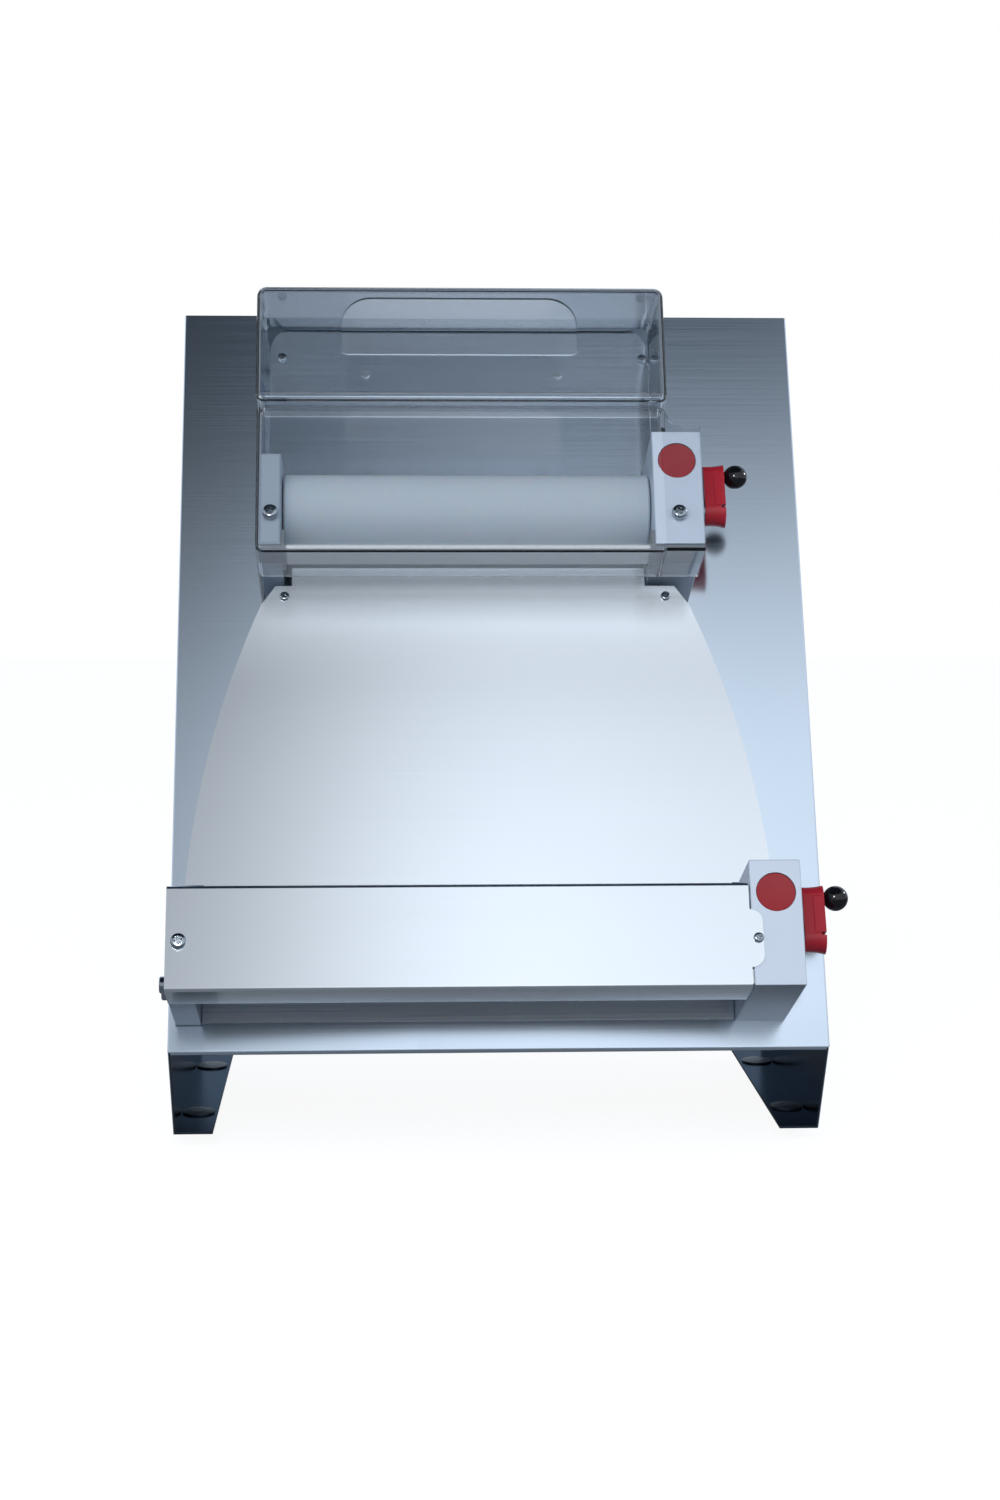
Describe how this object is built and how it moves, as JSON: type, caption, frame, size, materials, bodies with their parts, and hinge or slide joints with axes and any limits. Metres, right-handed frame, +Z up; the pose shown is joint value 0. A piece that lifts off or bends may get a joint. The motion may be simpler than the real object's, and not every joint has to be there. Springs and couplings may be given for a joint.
{
  "type": "pizza dough roller",
  "caption": "Bench-top dough roller: sloped stainless panel, upper and lower roller pairs set by levers, clear feed hood and a slide tray between them.",
  "frame": {"origin": "on the table under the middle of the machine's bounding box", "axes": "+Z up, +X to the machine's right as seen from its front, front towards -Y"},
  "size_m": [0.539, 0.472, 0.702],
  "materials": {
    "stainless": "brushed",
    "leg_steel": "satin",
    "cast_block": "fine cast",
    "clear_plastic": "clear",
    "roller_white": "satin",
    "red_plastic": "semi-gloss",
    "black_plastic": "gloss",
    "bright_steel": "polished",
    "turned_steel": "turned",
    "bronze": "machined",
    "foot_rubber": "matt",
    "belt_rubber": "matt",
    "motor_grey": "painted",
    "green_plastic": "gloss",
    "box_plastic": "matt"
  },
  "bodies": {
    "frame": {"front_panel": "stainless", "left_side_panel": "leg_steel", "right_side_panel": "leg_steel", "base_pan": "stainless", "back_cover": "stainless", "cross_beams": "turned_steel", "rubber_feet": "foot_rubber", "foot_fixings": "bright_steel", "feed_plate": "stainless", "tray_plate": "stainless", "stand_offs": "turned_steel", "hood": "clear_plastic", "lower_cover": "stainless", "casing_plugs": "red_plastic", "rear_bushes": "bronze", "pan_screws": "bright_steel", "small_screws": "bright_steel", "block_bolts": "bright_steel", "gearmotor": "motor_grey", "drive_belts": "belt_rubber", "button_box": "box_plastic", "cable_gland": "box_plastic", "upper_left_block": "cast_block", "upper_right_casing": "cast_block", "upper_scrapers": "turned_steel", "lower_left_block": "cast_block", "lower_right_casing": "cast_block", "lower_scrapers": "turned_steel"},
    "upper_rear_roller_set": {"upper_rear_roller": "roller_white", "upper_rear_shaft": "turned_steel", "upper_rear_gear": "turned_steel", "upper_rear_pulley": "turned_steel"},
    "upper_carriage": {"upper_left_slider": "turned_steel", "upper_front_axle": "turned_steel", "upper_right_yoke": "turned_steel"},
    "upper_front_roller_set": {"upper_front_roller": "roller_white", "upper_front_gear": "turned_steel", "upper_front_bushes": "bronze"},
    "upper_lever_set": {"upper_lever": "red_plastic", "upper_eccentric_shaft": "turned_steel"},
    "upper_index_set": {"upper_index_pin": "bright_steel", "upper_ball_knob": "black_plastic"},
    "lower_rear_roller_set": {"lower_rear_roller": "roller_white", "lower_rear_shaft": "turned_steel", "lower_rear_gear": "turned_steel", "lower_rear_pulley": "turned_steel"},
    "lower_carriage": {"lower_left_slider": "turned_steel", "lower_front_axle": "turned_steel", "lower_right_yoke": "turned_steel"},
    "lower_front_roller_set": {"lower_front_roller": "roller_white", "lower_front_gear": "turned_steel", "lower_front_bushes": "bronze"},
    "lower_lever_set": {"lower_lever": "red_plastic", "lower_eccentric_shaft": "turned_steel"},
    "lower_index_set": {"lower_index_pin": "bright_steel", "lower_ball_knob": "black_plastic"},
    "motor_output": {"motor_shaft": "turned_steel", "motor_pulleys": "turned_steel"},
    "start_cap": {"start_button": "green_plastic"},
    "stop_cap": {"stop_button": "red_plastic"}
  },
  "joints": [
    {"name": "lower_rear_spin", "type": "hinge", "parent": "frame", "child": "lower_rear_roller_set", "pos_m": [-0.0045, -0.1133, 0.15935], "axis": [1, 0, 0], "continuous": true},
    {"name": "upper_rear_spin", "type": "hinge", "parent": "frame", "child": "upper_rear_roller_set", "pos_m": [-0.0045, 0.04138, 0.49106], "axis": [1, 0, 0], "continuous": true},
    {"name": "motor_spin", "type": "hinge", "parent": "frame", "child": "motor_output", "pos_m": [-0.0045, 0.14026, 0.157], "axis": [1, 0, 0], "continuous": true},
    {"name": "lower_lever_turn", "type": "hinge", "parent": "frame", "child": "lower_lever_set", "pos_m": [-0.0045, -0.16994, 0.18577], "axis": [1, 0, 0], "range_deg": [-50, 50]},
    {"name": "lower_gap_slide", "type": "slide", "parent": "frame", "child": "lower_carriage", "axis": [0, -0.9063, 0.4226], "range_m": [-0.002, 0.002]},
    {"name": "lower_front_spin", "type": "hinge", "parent": "lower_carriage", "child": "lower_front_roller_set", "pos_m": [-0.0045, -0.16994, 0.18577], "axis": [1, 0, 0], "continuous": true},
    {"name": "lower_index_pull", "type": "slide", "parent": "lower_lever_set", "child": "lower_index_set", "axis": [1, 0, 0], "range_m": [0, 0.006], "stiffness_N_per_m": 400, "springref_m": -0.004},
    {"name": "upper_lever_turn", "type": "hinge", "parent": "frame", "child": "upper_lever_set", "pos_m": [-0.0045, -0.01526, 0.51748], "axis": [1, 0, 0], "range_deg": [-50, 50]},
    {"name": "upper_gap_slide", "type": "slide", "parent": "frame", "child": "upper_carriage", "axis": [0, -0.9063, 0.4226], "range_m": [-0.002, 0.002]},
    {"name": "upper_front_spin", "type": "hinge", "parent": "upper_carriage", "child": "upper_front_roller_set", "pos_m": [-0.0045, -0.01526, 0.51748], "axis": [1, 0, 0], "continuous": true},
    {"name": "upper_index_pull", "type": "slide", "parent": "upper_lever_set", "child": "upper_index_set", "axis": [1, 0, 0], "range_m": [0, 0.006], "stiffness_N_per_m": 400, "springref_m": -0.004},
    {"name": "start_press", "type": "slide", "parent": "frame", "child": "start_cap", "axis": [-1, 0, 0], "range_m": [0, 0.004], "stiffness_N_per_m": 500, "springref_m": -0.003},
    {"name": "stop_press", "type": "slide", "parent": "frame", "child": "stop_cap", "axis": [-1, 0, 0], "range_m": [0, 0.004], "stiffness_N_per_m": 500, "springref_m": -0.003}
  ],
  "couplings": [
    {"joint": "upper_rear_spin", "follows": "lower_rear_spin", "ratio": 1},
    {"joint": "motor_spin", "follows": "lower_rear_spin", "ratio": 1},
    {"joint": "lower_lever_turn", "follows": "lower_gap_slide", "rad_per_m": 436.33},
    {"joint": "lower_front_spin", "follows": "lower_rear_spin", "ratio": -1},
    {"joint": "upper_lever_turn", "follows": "upper_gap_slide", "rad_per_m": 436.33},
    {"joint": "upper_front_spin", "follows": "lower_rear_spin", "ratio": -1}
  ]
}
